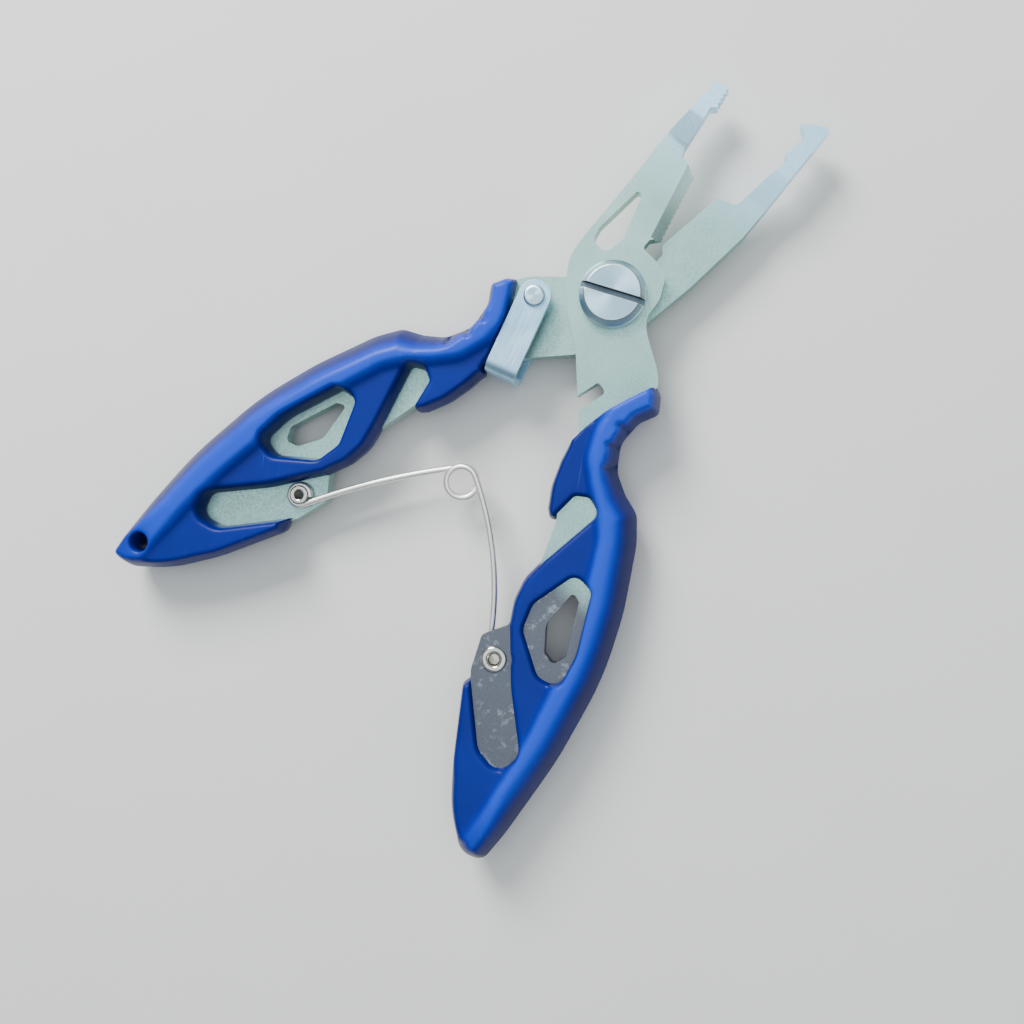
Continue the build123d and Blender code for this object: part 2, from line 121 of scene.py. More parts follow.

# %% [markdown]
# ## The grips' plastic
# The grips are a thermoplastic with a soft gloss, moulded on to the plates. The mould was polished but
# not perfect, so broad reflections wobble a little. The colour is painted deeper in the hollows and paler
# on the crests, as painted shade and painted light, and there are a few hair scratches.

# %% Blue moulded thermoplastic
def blue_moulding():
    plastic = {"IOR": 1.46, "Roughness": 0.34, "Specular_IOR_Level": 0.2}
    finish, tree, shader = new_finish("blue_moulded_thermoplastic", **plastic)
    place = add(tree, "ShaderNodeTexCoord").outputs["Object"]
    # Flow variation in the pigment: patches about 9 mm across.
    flow = add(tree, "ShaderNodeTexNoise", {"Vector": place, "Scale": 1 / (9 * MM), "Detail": 3.0})
    height = add(tree, "ShaderNodeAttribute", attribute_name="crest_shade")
    depth = add(tree, "ShaderNodeMath", {0: flow.outputs["Fac"], 1: 0.35}, operation="MULTIPLY")
    lift = add(tree, "ShaderNodeMath", {0: height.outputs["Fac"], 1: depth.outputs[0]}, operation="ADD")
    # Painted shade and light: by height, the colour goes from navy in the hollows to royal blue on the
    # crests.
    painted_shades = add(tree, "ShaderNodeValToRGB", {"Fac": lift.outputs[0]})
    painted_shades.color_ramp.elements[0].position = 0.05
    painted_shades.color_ramp.elements[0].color = colour("020D4A")
    painted_shades.color_ramp.elements[1].position = 1.2
    painted_shades.color_ramp.elements[1].color = colour("1C46CC")
    middle = painted_shades.color_ramp.elements.new(0.6)
    middle.color = colour("0A2596")
    # Hair scratches: noise stretched 40 times along one way, thin and sparse.
    stretch = add(tree, "ShaderNodeMapping", {
        "Vector": place, "Rotation": (0, 0, radians(30)), "Scale": (40.0, 1.0, 1.0),
    }, vector_type="TEXTURE")
    hair = add(tree, "ShaderNodeTexNoise", {
        "Vector": stretch.outputs[0], "Scale": 1 / (0.5 * MM), "Detail": 2.0,
    })
    scratch = add(tree, "ShaderNodeMapRange", {
        "Value": hair.outputs["Fac"], "From Min": 0.7, "From Max": 0.8, "To Max": 0.5,
    })
    worn = add(tree, "ShaderNodeMix", {
        "Factor": scratch.outputs[0], 6: painted_shades.outputs[0], 7: colour("4068CC"),
    }, data_type="RGBA")
    tree.links.new(worn.outputs[2], shader.inputs["Base Color"])
    gloss = add(tree, "ShaderNodeMapRange", {
        "Value": flow.outputs["Fac"], "From Min": 0.3, "From Max": 0.7, "To Min": 0.30, "To Max": 0.40,
    })
    tree.links.new(gloss.outputs[0], shader.inputs["Roughness"])
    # The mould's texture: 0.35 mm orange peel, only a few microns deep, over 6 mm waviness.
    peel = add(tree, "ShaderNodeTexNoise", {"Vector": place, "Scale": 1 / (0.35 * MM), "Detail": 2.0})
    wave = add(tree, "ShaderNodeTexNoise", {"Vector": place, "Scale": 1 / (6 * MM), "Detail": 1.0})
    fine = add(tree, "ShaderNodeBump", {
        "Height": peel.outputs["Fac"], "Strength": 0.12, "Distance": 0.01 * MM,
    })
    broad = add(tree, "ShaderNodeBump", {
        "Height": wave.outputs["Fac"], "Strength": 0.5, "Distance": 0.08 * MM,
        "Normal": fine.outputs[0],
    })
    tree.links.new(broad.outputs[0], shader.inputs["Normal"])
    return finish


moulded_blue = blue_moulding()
print("made", moulded_blue.name)

# %% [markdown]
# ## The steels
# All the metal is stainless or plated steel, so every finish keeps the same metal shader and differs
# in how its surface was worked: tumbled plate, ground blade, brushed strip, turned pin, drawn wire.
# Tumbling leaves a satin skin with tiny pits, and grinding leaves fine parallel lines. The jaws turn
# bright and cool towards their cross-ground tips, as a painted reflection over the ground finish, and
# one plate's tail is darker and duller towards its end, with pale flecks.

# %% Tumbled stainless plate
def tumbled_plate(name, light, dark, rough, tail_darkening):
    """Satin plate. The jaws are cross-ground towards their tips, under a painted reflection; the last
    argument sets how dark the tail is.
    """
    finish, tree, shader = new_finish(name, Metallic=1.0)
    place = add(tree, "ShaderNodeTexCoord").outputs["Object"]
    along_tool = add(tree, "ShaderNodeSeparateXYZ", {"Vector": place}).outputs["X"]
    cloud = add(tree, "ShaderNodeTexNoise", {"Vector": place, "Scale": 1 / (7 * MM), "Detail": 4.0})
    grit = add(tree, "ShaderNodeTexNoise", {"Vector": place, "Scale": 1 / (0.3 * MM), "Detail": 3.0})
    pits = add(tree, "ShaderNodeTexVoronoi", {"Vector": place, "Scale": 1 / (1.3 * MM), "Randomness": 1.0})
    pit = add(tree, "ShaderNodeMapRange", {
        "Value": pits.outputs["Distance"], "From Min": 0.03, "From Max": 0.10,
    })
    grain = add(tree, "ShaderNodeMapRange", {
        "Value": grit.outputs["Fac"], "From Min": 0.3, "From Max": 0.7, "To Min": -0.35, "To Max": 0.35,
    })
    blend = add(tree, "ShaderNodeMath", {
        0: cloud.outputs["Fac"], 1: grain.outputs[0],
    }, operation="ADD", use_clamp=True)
    tone = add(tree, "ShaderNodeMix", {
        "Factor": blend.outputs[0], 6: colour(light), 7: colour(dark),
    }, data_type="RGBA")
    specked = add(tree, "ShaderNodeMix", {
        "Factor": pit.outputs[0], 6: colour("8F978F"), 7: tone.outputs[2],
    }, data_type="RGBA")
    # Grinding across the jaws: such lines are about 0.03 mm apart, drawn at 0.15 mm so that they show.
    turned = add(tree, "ShaderNodeMapping", {
        "Vector": place, "Rotation": (0, 0, radians(80)), "Scale": (30.0, 1.0, 1.0),
    }, vector_type="TEXTURE")
    lines = add(tree, "ShaderNodeTexNoise", {
        "Vector": turned.outputs[0], "Scale": 1 / (0.15 * MM), "Detail": 2.0,
    })
    # Towards the tips the colour turns pale and cool: a painted reflection of the sky over the real ground
    # lines.
    bright = add(tree, "ShaderNodeMix", {
        "Factor": lines.outputs["Fac"], 6: colour("A8DCFF"), 7: colour("D2F6FF"),
    }, data_type="RGBA")
    forward = add(tree, "ShaderNodeMapRange", {
        "Value": along_tool, "From Min": 14 * MM, "From Max": 33 * MM,
    }, interpolation_type="SMOOTHSTEP")
    ground_and_sheen = add(tree, "ShaderNodeMix", {
        "Factor": forward.outputs[0], 6: specked.outputs[2], 7: bright.outputs[2],
    }, data_type="RGBA")
    # The tail: darker and duller towards its end, with pale flecks a millimetre or two long.
    back = add(tree, "ShaderNodeMapRange", {
        "Value": along_tool, "From Min": -36 * MM, "From Max": -41 * MM, "To Max": tail_darkening,
    }, interpolation_type="SMOOTHSTEP")
    flecks = add(tree, "ShaderNodeTexNoise", {
        "Vector": place, "Scale": 1 / (1.6 * MM), "Detail": 6.0, "Roughness": 0.7,
    })
    fleck = add(tree, "ShaderNodeMapRange", {"Value": flecks.outputs["Fac"], "From Min": 0.56, "From Max": 0.78})
    dark_tail = add(tree, "ShaderNodeMix", {
        "Factor": fleck.outputs[0], 6: colour("5E5A68"), 7: colour("B8C0C8"),
    }, data_type="RGBA")
    final = add(tree, "ShaderNodeMix", {
        "Factor": back.outputs[0], 6: ground_and_sheen.outputs[2], 7: dark_tail.outputs[2],
    }, data_type="RGBA")
    tree.links.new(final.outputs[2], shader.inputs["Base Color"])
    skin = add(tree, "ShaderNodeMapRange", {
        "Value": grit.outputs["Fac"], "From Min": 0.3, "From Max": 0.7, "To Min": rough - 0.06,
        "To Max": rough + 0.08,
    })
    tree.links.new(skin.outputs[0], shader.inputs["Roughness"])
    bump = add(tree, "ShaderNodeBump", {
        "Height": grit.outputs["Fac"], "Strength": 0.35, "Distance": 0.012 * MM,
    })
    dent = add(tree, "ShaderNodeBump", {
        "Height": pit.outputs[0], "Strength": 0.3, "Distance": 0.01 * MM, "Normal": bump.outputs[0],
    })
    tree.links.new(dent.outputs[0], shader.inputs["Normal"])
    return finish


upper_skin = tumbled_plate("tumbled_stainless_dark_tail", "B2D5CE", "8BB2AB", 0.38, 0.9)
lower_skin = tumbled_plate("tumbled_stainless_plain_tail", "B2D5CE", "8BB2AB", 0.38, 0.0)
print("made", upper_skin.name, lower_skin.name)

# %% [markdown]
# The blades, the screw's slot, the latch strip and the spring wire were each worked in one direction, by
# a wheel, a cutter, a brush or a die, and light shows that as fine parallel lines. One function draws
# them all: noise stretched 25 times along the direction of working. Real grooves would need millions of
# faces, while a bump of a few microns does the same to a highlight.

# %% Worked steel: one set of fine lines along a direction
def lined_steel(name, tone, shadow, angle, spacing, rough, depth):
    """Steel with parallel tool lines; angle is the direction they run, spacing their pitch in mm."""
    finish, tree, shader = new_finish(name, Metallic=1.0)
    place = add(tree, "ShaderNodeTexCoord").outputs["Object"]
    turned = add(tree, "ShaderNodeMapping", {
        "Vector": place, "Rotation": (0, 0, radians(angle)), "Scale": (25.0, 1.0, 1.0),
    }, vector_type="TEXTURE")
    lines = add(tree, "ShaderNodeTexNoise", {
        "Vector": turned.outputs[0], "Scale": 1 / (spacing * MM), "Detail": 3.0,
    })
    cloud = add(tree, "ShaderNodeTexNoise", {"Vector": place, "Scale": 1 / (5 * MM), "Detail": 2.0})
    both = add(tree, "ShaderNodeMath", {
        0: lines.outputs["Fac"], 1: cloud.outputs["Fac"],
    }, operation="MULTIPLY")
    share = add(tree, "ShaderNodeMapRange", {"Value": both.outputs[0], "From Min": 0.12, "From Max": 0.4})
    mixed = add(tree, "ShaderNodeMix", {
        "Factor": share.outputs[0], 6: colour(shadow), 7: colour(tone),
    }, data_type="RGBA")
    tree.links.new(mixed.outputs[2], shader.inputs["Base Color"])
    skin = add(tree, "ShaderNodeMapRange", {
        "Value": lines.outputs["Fac"], "From Min": 0.3, "From Max": 0.7, "To Min": rough,
        "To Max": rough + 0.14,
    })
    tree.links.new(skin.outputs[0], shader.inputs["Roughness"])
    bump = add(tree, "ShaderNodeBump", {
        "Height": lines.outputs["Fac"], "Strength": 0.6, "Distance": depth * MM,
    })
    tree.links.new(bump.outputs[0], shader.inputs["Normal"])
    return finish


# Brush lines are about 0.03 mm apart in life; a tenth of a millimetre is the finest that shows.
# A sheared edge, made near white as a painted highlight along every eased edge.
sheared_edge_and_highlight = lined_steel("sheared_edge_painted_highlight", "FFFFFA", "DDE6E0", 90.0, 0.2, 0.30, 0.01)
# Ground blade faces, made pale: a ground finish with painted light on faces that the lamps leave dark.
ground_blade_and_sheen = lined_steel("ground_blade_painted_sheen", "E6F6F4", "B8D2CE", 80.0, 0.16, 0.36, 0.02)
# Dark steel for the screw's slot: painted shade on its walls and floor, over milled lines.
slot_painted_shade = lined_steel("milled_slot_painted_shade", "7C8C96", "4C5A64", 20.0, 0.12, 0.30, 0.01)
# Brushed strip with a cool blue tint, a painted reflection of the sky over its lines.
brushed_strip_sky_sheen = lined_steel("brushed_latch_painted_sky", "C4ECFF", "98C4E0", 13.0, 0.1, 0.34, 0.012)
drawn_wire = lined_steel("drawn_spring_wire", "FFFFFA", "F2F0E8", 0.0, 0.1, 0.34, 0.002)
print("made", ground_blade_and_sheen.name, slot_painted_shade.name, sheared_edge_and_highlight.name, brushed_strip_sky_sheen.name, drawn_wire.name)

# %% [markdown]
# The screw, the rivet and the washer were faced on a lathe, which leaves rings. A wave in rings about
# each pin's own axis draws them, and an anisotropic shader stretches a highlight into the two bright
# wedges of a turned face. The eyelets are nickel plated, so they use the same function with broad, faint
# rings and little roughness.

# %% Turned and plated pins
def turned_steel(name, tone, shadow, centre, pitch, rough, anisotropy):
    """Steel faced on a lathe: rings about an upright axis, which stretch a highlight into two wedges."""
    finish, tree, shader = new_finish(name, Metallic=1.0, Anisotropic=anisotropy)
    place = add(tree, "ShaderNodeTexCoord").outputs["Object"]
    shifted = add(tree, "ShaderNodeMapping", {
        "Vector": place, "Location": (-centre[0] * MM, -centre[1] * MM, 0.0),
    })
    rings = add(tree, "ShaderNodeTexWave", {
        "Vector": shifted.outputs[0], "Scale": 0.314 / (pitch * MM), "Distortion": 0.6, "Detail": 2.0,
    }, wave_type="RINGS", rings_direction="Z")
    cloud = add(tree, "ShaderNodeTexNoise", {"Vector": place, "Scale": 1 / (1.6 * MM), "Detail": 3.0})
    mixed = add(tree, "ShaderNodeMix", {
        "Factor": cloud.outputs["Fac"], 6: colour(shadow), 7: colour(tone),
    }, data_type="RGBA")
    tree.links.new(mixed.outputs[2], shader.inputs["Base Color"])
    skin = add(tree, "ShaderNodeMapRange", {
        "Value": rings.outputs["Fac"], "To Min": rough, "To Max": rough + 0.08,
    })
    tree.links.new(skin.outputs[0], shader.inputs["Roughness"])
    bump = add(tree, "ShaderNodeBump", {
        "Height": rings.outputs["Fac"], "Strength": 0.35, "Distance": 0.006 * MM,
    })
    tree.links.new(bump.outputs[0], shader.inputs["Normal"])
    tangent = add(tree, "ShaderNodeTangent", direction_type="RADIAL", axis="Z")
    tree.links.new(tangent.outputs[0], shader.inputs["Tangent"])
    return finish


faced_screw = turned_steel("faced_screw_steel", "C4E4F2", "9CC2D2", (0.0, 0.0), 0.16, 0.32, 0.6)
rivet_place = [(low + high) / 2 / MM for low, high in zip(*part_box("latch_rivet"))]
faced_rivet = turned_steel("faced_rivet_steel", "D4EEFA", "A8CCDC", rivet_place, 0.14, 0.24, 0.75)
nickel = turned_steel("bright_nickel_plating", "E8E6DE", "B8B6AC", (0.0, 0.0), 0.6, 0.12, 0.0)
print("rivet stands at", [round(v, 2) for v in rivet_place])

# %% [markdown]
# ## The moulded grips
# A grip is one moulding that swallows the plate's tail. Seen from above it has a thin web, with
# windows in it, and a raised spine along the outside that rolls over into the palm. Its true edge is
# the parting line at mid height. A section through the CAD grip at that level gives the outline and
# the windows exactly, and a higher section gives the foot of the spine. The height of every point
# then follows from three distances: to the outside edge, to the foot of the spine and to the nearest
# inner edge. That keeps the form true to the CAD and rounds it as the mould does.

# %% Section through a CAD piece
half_height = 5.0  # the parting line's height, and half of the tool's


def section(node, level):
    """The closed loops, in mm, where a CAD node meets a horizontal plane, the longest first."""
    shell = bmesh.new()
    shell.from_mesh(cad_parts[node].data)
    bmesh.ops.remove_doubles(shell, verts=shell.verts, dist=0.001 * MM)
    everything = shell.verts[:] + shell.edges[:] + shell.faces[:]
    cut = bmesh.ops.bisect_plane(shell, geom=everything, plane_co=(0, 0, level * MM), plane_no=(0, 0, 1))
    edges = {item for item in cut["geom_cut"] if isinstance(item, bmesh.types.BMEdge)}
    loops = []
    while edges:
        edge = min(edges, key=lambda e: tuple(e.verts[0].co))
        edges.discard(edge)
        start, here = edge.verts
        loop = [start.co.xy / MM]
        while here is not start:
            loop.append(here.co.xy / MM)
            step = next((e for e in here.link_edges if e in edges), None)
            if step is None:
                break
            edges.discard(step)
            here = step.other_vert(here)
        loops.append(np.array(loop))
    shell.free()
    return sorted(loops, key=lambda loop: -np.linalg.norm(np.diff(loop, axis=0), axis=1).sum())


for node in ("right_grip", "left_grip"):
    print(node, "loops at the parting line:", [len(loop) for loop in section(node, half_height)])

# %% [markdown]
# A section of an arc has many points and a section of a straight side has two, so the edge is paced out
# again in even steps. Two more helpers ask what every height depends on: how far a point is from an edge,
# and whether it lies within the outline. Numpy answers for all the points at once.

# %% Even steps, distances and insides
edge_pace = 0.4  # mm between points along an edge


def paced(loop, step):
    """The loop again with a point at least every step, its own corners kept."""
    points = []
    for here, ahead in zip(loop, np.roll(loop, -1, axis=0)):
        gap = np.linalg.norm(ahead - here)
        if gap < 0.02:
            continue
        count = max(1, int(round(gap / step)))
        points += [here + (ahead - here) * i / count for i in range(count)]
    return np.array(points)


def distances(points, starts, ends):
    """How far each point is from the nearest of some straight pieces."""
    nearest = np.full(len(points), 1e9)
    for start, end in zip(starts, ends):
        run = end - start
        share = np.clip(((points - start) @ run) / max(run @ run, 1e-12), 0, 1)
        nearest = np.minimum(nearest, np.linalg.norm(points - start - share[:, None] * run, axis=1))
    return nearest


def inside(points, loops):
    """Which points lie within the loops, by counting the edges that a line to the right crosses."""
    odd = np.zeros(len(points), bool)
    x, y = points.T
    for loop in loops:
        for (ax, ay), (bx, by) in zip(loop, np.roll(loop, -1, axis=0)):
            if ay == by:
                continue
            spans = (ay > y) != (by > y)
            odd ^= spans & (x < ax + (y - ay) * (bx - ax) / (by - ay))
    return odd


print("points along the right grip's edge:", len(paced(section("right_grip", half_height)[0], edge_pace)))

# %% [markdown]
# The three numbers that matter most are the width of the roll into the palm, the width of the step
# from spine to web, and the small radius that the mould leaves round a window. The finger ridges sit
# in the scallop behind the nose, where the forefinger presses.

# %% Measures of the moulding
parting_half = 0.55  # half of the flat band left at the parting line
roll_width = 4.1
nose_roll_width = 1.7
tail_roll_width = 1.3
step_width = 2.0
window_draft = 0.45
window_round = 0.6
nose_round = 0.22
web_half = 3.5
# How far behind the pivot each change of form begins, and the length that it takes.
spine_slope, tip_slope, tail_slope = (17.0, 9.0), (64.0, 8.0), (68.0, 9.0)
tail_drop = 0.7
ridge_places = ((-14.6, 13.8), (-17.5, 14.4), (-20.2, 16.0))
scallop_centre = (-14.0, 21.5)
ridge_depth = 1.25
# A ridge is a saw tooth along the edge, with a long slope behind its deepest line and a short one ahead.
ridge_middle, long_slope, short_slope = 0.15, 1.3, 0.55
print("half heights: spine", half_height, "web", web_half, "parting band", parting_half)

# %% [markdown]
# The mould maker rounds an edge with a cutter, and here a formula does it. Each point's height is the
# lower of two surfaces, the roll that starts at the outside edge and the wall that starts at the nearest
# inner edge, with the crease between them filled in. The ridges are then cut out of it. Subdividing a
# coarse cage would be quicker, but it would pull the narrow windows out of shape.

# %% Heights over a grip
def ramp(distance, start, run):
    """From 0 at the start to 1 at the end of the run, and level on either side."""
    return np.clip((distance - start) / run, 0, 1)


def quarter_round(distance, width):
    share = 1 - np.clip(distance / width, 0, 1)
    return np.sqrt(np.clip(1 - share * share, 0, 1))


def soft_least(a, b, blend):
    """The smaller of two heights, with the crease between them filled in."""
    share = np.clip(0.5 + 0.5 * (b - a) / blend, 0, 1)
    return b + (a - b) * share - blend * share * (1 - share)


def grip_heights(points, far_side, outer_gap, inner_gap, foot_gap, tail_gap):
    """Height above the parting plane at each point, in mm."""
    rise = np.clip((foot_gap + 0.6 * step_width) / step_width, 0, 1)
    rise = rise * rise * (3 - 2 * rise)
    behind_pivot = -points[:, 0]
    # The spine sinks a little where it runs out into the tail.
    tail = ramp(behind_pivot, *tail_slope)
    spine = half_height - tail_drop * tail
    top = web_half + (spine - web_half) * rise
    # The palm side leans back evenly and then rolls over; the nose is fuller, with a tighter roll.
    width = nose_roll_width + (roll_width - nose_roll_width) * ramp(behind_pivot, *spine_slope)
    width = width + (tail_roll_width - width) * tail * (0.85 if far_side > 0 else 0.45)
    roll = parting_half + (spine - parting_half) * (1 - (1 - np.clip(outer_gap / width, 0, 1)) ** 1.75)
    # All round the tail's tip the roll narrows evenly into the small round of the inner edge.
    tip_width = window_round + (tail_roll_width + 0.6 - window_round) * ramp(behind_pivot, *tip_slope)
    tip = parting_half + (spine - parting_half) * (1 - (1 - np.clip(tail_gap / tip_width, 0, 1)) ** 2)
    roll = np.minimum(roll, tip)
    # Window walls lean out by the mould's draft, then round over; the nose meets its plate squarely.
    fore = ramp(points[:, 0], -22.0, 4.0) + ramp(behind_pivot, 71.0, 2.5)
    radius = window_round + (nose_round - window_round) * fore
    draft = window_draft * (1 - fore) + 0.05 * fore
    wall = (top - radius - parting_half) * np.clip(inner_gap / draft, 0, 1)
    lip = parting_half + wall + radius * quarter_round(np.maximum(inner_gap - draft, 0), radius)
    height = soft_least(roll, lip, 0.3)
    for x, y in ridge_places:
        spot = np.array((x, far_side * y))
        out = np.array((scallop_centre[0], far_side * scallop_centre[1])) - spot
        out = out / np.linalg.norm(out)
        along_edge = np.array((-out[1], out[0]))
        offset = points - spot
        across = offset @ out
        length = offset @ along_edge
        slope = np.where(length < ridge_middle, long_slope, short_slope)
        groove = np.clip(1 - np.abs(length - ridge_middle) / slope, 0, 1) ** 1.5
        groove = groove * np.clip((across + 2.0) / 0.9, 0, 1)
        near = np.clip(1 - (outer_gap / 2.3) ** 4, 0, 1)
        height -= ridge_depth * groove * near * np.clip((height - parting_half) / 1.5, 0, 1)
    return np.maximum(height, parting_half * 0.98)


print("a 2 mm round is", round(2 * float(quarter_round(1.0, 2.0)), 2), "mm high at 1 mm from its edge")

# %% [markdown]
# The moulding is first laid out flat: its edges, a few rows of points that follow them inwards, and a
# grid of points for the broad faces. Delaunay triangles join them all without crossing an edge. The
# height of each point then turns the flat sheet into the top of the grip.

# %% Points, faces and heights of a grip
# Levels, in mm, that cut the spine above its foot, the two plates and the latch strap.
foot_level, upper_plate_level, lower_plate_level, strap_level = 9.2, 6.2, 3.8, 8.2
row_insets = (0.05, 0.16, 0.36, 0.66, 1.05, 1.5)
inner_pitch = 0.42  # between the points of the grid inside those rows


def make_grip(node):
    far_side = 1 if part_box(node)[1][1] > abs(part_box(node)[0][1]) else -1
    loops = [paced(loop, edge_pace) for loop in section(node, half_height)]
    feet = section(node, foot_level)
    foot_starts = np.concatenate(feet)
    foot_ends = np.concatenate([np.roll(loop, -1, axis=0) for loop in feet])
    rim = loops[0]
    on_spine = distances(rim, foot_starts, foot_ends) < 0.05
    # Where the nose lies on its plate, or makes room for the parked latch, it ends squarely.
    if far_side < 0:
        plate = section("flat_jaw_plate", upper_plate_level)
    else:
        plate = section("hook_jaw_plate", lower_plate_level)
    strap = section("latch_strap", strap_level)[0]
    on_spine &= ~inside(rim, plate) & (distances(rim, strap, np.roll(strap, -1, axis=0)) > 0.6)
    starts = np.concatenate(loops)
    ends = np.concatenate([np.roll(loop, -1, axis=0) for loop in loops])
    on_windows = [np.zeros(len(loop), bool) for loop in loops[1:]]
    outer = np.concatenate([on_spine & np.roll(on_spine, -1)] + on_windows)
    # Rows of points that follow each edge inwards, close together where the surface turns quickest.
    rows = [starts]
    for loop in loops:
        way = np.roll(loop, -1, axis=0) - np.roll(loop, 1, axis=0)
        side = np.stack((-way[:, 1], way[:, 0]), axis=1) / np.linalg.norm(way, axis=1)[:, None]
        probe = inside(loop + 0.03 * side, loops)
        side = np.where(probe[:, None], side, -side)
        for inset in row_insets:
            row = loop + inset * side
            row = row[inside(row, loops)]
            rows.append(row[distances(row, starts, ends) > 0.93 * inset])
    low, high = starts.min(axis=0), starts.max(axis=0)
    grid = np.array([
        (x + (0.5 * inner_pitch if j % 2 else 0.0), y)
        for j, y in enumerate(np.arange(low[1], high[1], inner_pitch * 0.866))
        for x in np.arange(low[0], high[0], inner_pitch)
    ])
    grid = grid[inside(grid, loops)]
    rows.append(grid[distances(grid, starts, ends) > 1.7])
    points = np.concatenate(rows)
    edges, base = [], 0
    for loop in loops:
        edges += [(base + i, base + (i + 1) % len(loop)) for i in range(len(loop))]
        base += len(loop)
    flat, _, faces, *_ = geometry.delaunay_2d_cdt([Vector(p) for p in points], edges, [], 0, 1e-4)
    points = np.array([tuple(p) for p in flat])
    faces = np.array([tuple(f) for f in faces])
    faces = faces[inside(points[faces].mean(axis=1), loops)]
    outer_gap = distances(points, starts[outer], ends[outer])
    inner_gap = distances(points, starts[~outer], ends[~outer])
    inner_foot = distances(foot_starts, starts[outer], ends[outer]) > 0.05
    foot = distances(points, foot_starts[inner_foot], foot_ends[inner_foot])
    foot = np.where(inside(points, feet), foot, -foot)
    at_tail = rim[:, 0] < -62.0
    tail_gap = distances(points, rim[at_tail], np.roll(rim, -1, axis=0)[at_tail])
    heights = grip_heights(points, far_side, outer_gap, inner_gap, foot, tail_gap)
    # A share of the height, which the plastic's colour reads as painted shade in the hollows and painted
    # light on the crests.
    crest_shade = np.clip((heights / half_height - 0.62) / 0.38, 0, 1)
    return points, faces, heights, crest_shade


print("levels cut for the grips:", foot_level, upper_plate_level, lower_plate_level, strap_level)

# %% [markdown]
# Both halves of the mould are alike, so the same sheet, turned over, is the underside. A thin band joins
# the two at the parting line. The result is one closed shell, which carries the height of each point as
# an attribute, for the plastic's colour to read.

# %% Close the shell and make both grips
def close_shell(name, points, faces, heights, crest_shade, finish):
    """Top and bottom faces of a symmetrical moulding, and the wall that joins them at each edge."""
    shell = bmesh.new()
    shade = shell.verts.layers.float.new("crest_shade")
    sheets = []
    for side in (1, -1):
        row = [
            shell.verts.new((x * MM, y * MM, (half_height + side * h) * MM))
            for (x, y), h in zip(points, heights)
        ]
        for vert, value in zip(row, crest_shade):
            vert[shade] = value
        sheets.append(row)
    for a, b, c in faces.tolist():
        shell.faces.new((sheets[0][a], sheets[0][b], sheets[0][c]))
        shell.faces.new((sheets[1][c], sheets[1][b], sheets[1][a]))
    over = {vert: under for vert, under in zip(*sheets)}
    rims = [e for e in shell.edges if len(e.link_faces) == 1 and e.verts[0] in over]
    for edge in rims:
        a, b = edge.verts
        shell.faces.new((a, b, over[b], over[a]))
    loose = [v for v in shell.verts if not v.link_faces]
    bmesh.ops.delete(shell, geom=loose, context="VERTS")
    bmesh.ops.recalc_face_normals(shell, faces=shell.faces[:])
    mesh = bpy.data.meshes.new(name)
    shell.to_mesh(mesh)
    shell.free()
    mesh.materials.append(finish)
    mesh.shade_smooth()
    piece = bpy.data.objects.new(name, mesh)
    bpy.context.scene.collection.objects.link(piece)
    return piece


for node, body in (("right_grip", "upper_half"), ("left_grip", "lower_half")):
    points, faces, heights, crest_shade = make_grip(node)
    name = node.replace("grip", "moulded_grip")
    piece = close_shell(name, points, faces, heights, crest_shade, moulded_blue)
    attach(piece, body)
    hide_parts(node)
    print(piece.name, "faces", len(piece.data.polygons), "tallest", round(float(heights.max()), 2))

# %% [markdown]
# ## Plates, strap, screw and nut
# These are blanked, folded or turned from metal, and the CAD shapes are right as they are, but no
# real edge is perfectly sharp. A copy of each CAD piece gets a small bevel, and the bevel's own faces
# get the near-white finish of a sheared edge, which is partly a painted highlight. A bevel may not
# overlap itself, so it comes out much finer on the plates, which have small teeth and notches.

# %% Copies of CAD pieces with eased edges
plate_ease, strap_ease, turned_ease = 0.16, 0.14, 0.08
blade_back, blade_front = 10 * MM, 23 * MM
slot_half_width = 0.5 * MM
print("edges eased by, in mm: plates", plate_ease, "strap", strap_ease, "turned pieces", turned_ease)


def eased_copy(node, name, width, finishes, segments=2):
    shell = bmesh.new()
    shell.from_mesh(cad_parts[node].data)
    bmesh.ops.remove_doubles(shell, verts=shell.verts, dist=0.002 * MM)
    bmesh.ops.dissolve_limit(shell, angle_limit=radians(0.5), verts=shell.verts[:], edges=shell.edges[:])
    for face in shell.faces:
        face.smooth = True
        face.material_index = 0
    mesh = bpy.data.meshes.new(name + "_rough")
    shell.to_mesh(mesh)
    shell.free()
    mesh.materials.clear()
    for finish in finishes:
        mesh.materials.append(finish)
    rough = bpy.data.objects.new(name + "_rough", mesh)
    bpy.context.scene.collection.objects.link(rough)
    easing = rough.modifiers.new("eased_edge", "BEVEL")
    easing.width = width * MM
    easing.segments = segments
    easing.limit_method = "ANGLE"
    easing.angle_limit = radians(35)
    easing.use_clamp_overlap = True
    easing.material = 1 if len(finishes) > 1 else 0
    weights = rough.modifiers.new("flat_faces_win", "WEIGHTED_NORMAL")
    weights.mode = "FACE_AREA"
    weights.weight = 100
    weights.keep_sharp = False
    bpy.context.view_layer.update()
    done = bpy.data.meshes.new_from_object(rough.evaluated_get(bpy.context.evaluated_depsgraph_get()))
    done.name = name
    bpy.data.objects.remove(rough)
    piece = bpy.data.objects.new(name, done)
    bpy.context.scene.collection.objects.link(piece)
    return piece


def settle(piece, body, slot, *nodes):
    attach(piece, body)
    if nodes:
        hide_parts(*nodes)
    print(piece.name, "rides on", body, "with", len(piece.data.polygons), "faces")


def levels(node):
    low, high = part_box(node)
    return low[2] / MM, high[2] / MM


def mark_faces(piece, finish, chosen):
    """Gives some faces of a piece a finish of their own."""
    piece.data.materials.append(finish)
    count = 0
    for face in piece.data.polygons:
        if chosen(face):
            face.material_index = len(piece.data.materials) - 1
            count += 1
    print(piece.name, "has", count, "faces in", finish.name)


